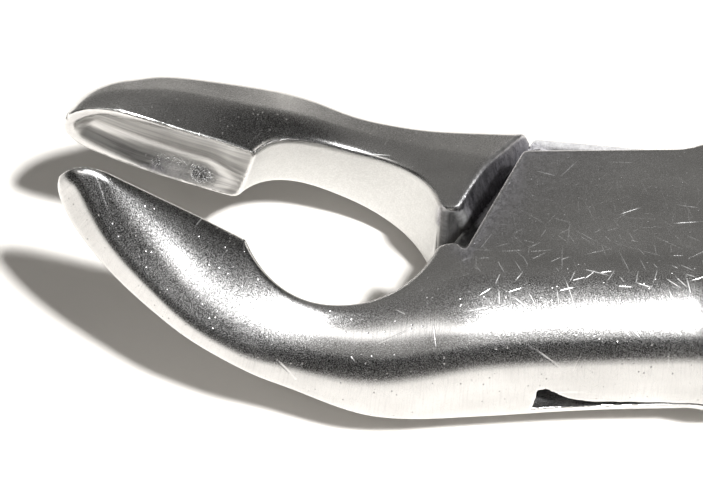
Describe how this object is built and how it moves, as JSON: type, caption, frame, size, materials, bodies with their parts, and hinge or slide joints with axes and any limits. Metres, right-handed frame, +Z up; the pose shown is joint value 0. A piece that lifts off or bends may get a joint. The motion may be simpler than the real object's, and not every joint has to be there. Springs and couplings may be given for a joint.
{
  "type": "dental forceps",
  "caption": "Dental extraction forceps with two crossing halves in a box joint, upturned spooned beaks and bowed grip handles that open about one flush pin.",
  "frame": {"origin": "on the pivot pin's axis, at the joint's underside", "axes": "+X toward the handles and -X toward the beaks, along the middle line between the halves; +Z up along the pin; the jaws open in the XY plane"},
  "size_m": [0.1729, 0.0418, 0.0146],
  "materials": {
    "female_steel": "worn satin polish, scratched",
    "male_steel": "worn satin polish, scratched",
    "pin_steel": "ground flush"
  },
  "bodies": {
    "female": {"female_half": "female_steel", "pivot_pin": "pin_steel"},
    "male": {"male_half": "male_steel"}
  },
  "joints": [
    {"name": "jaw_hinge", "type": "hinge", "parent": "female", "child": "male", "pos_m": [0, 0, 0.00475], "axis": [0, 0, -1], "range_deg": [-7.2, 15]}
  ]
}
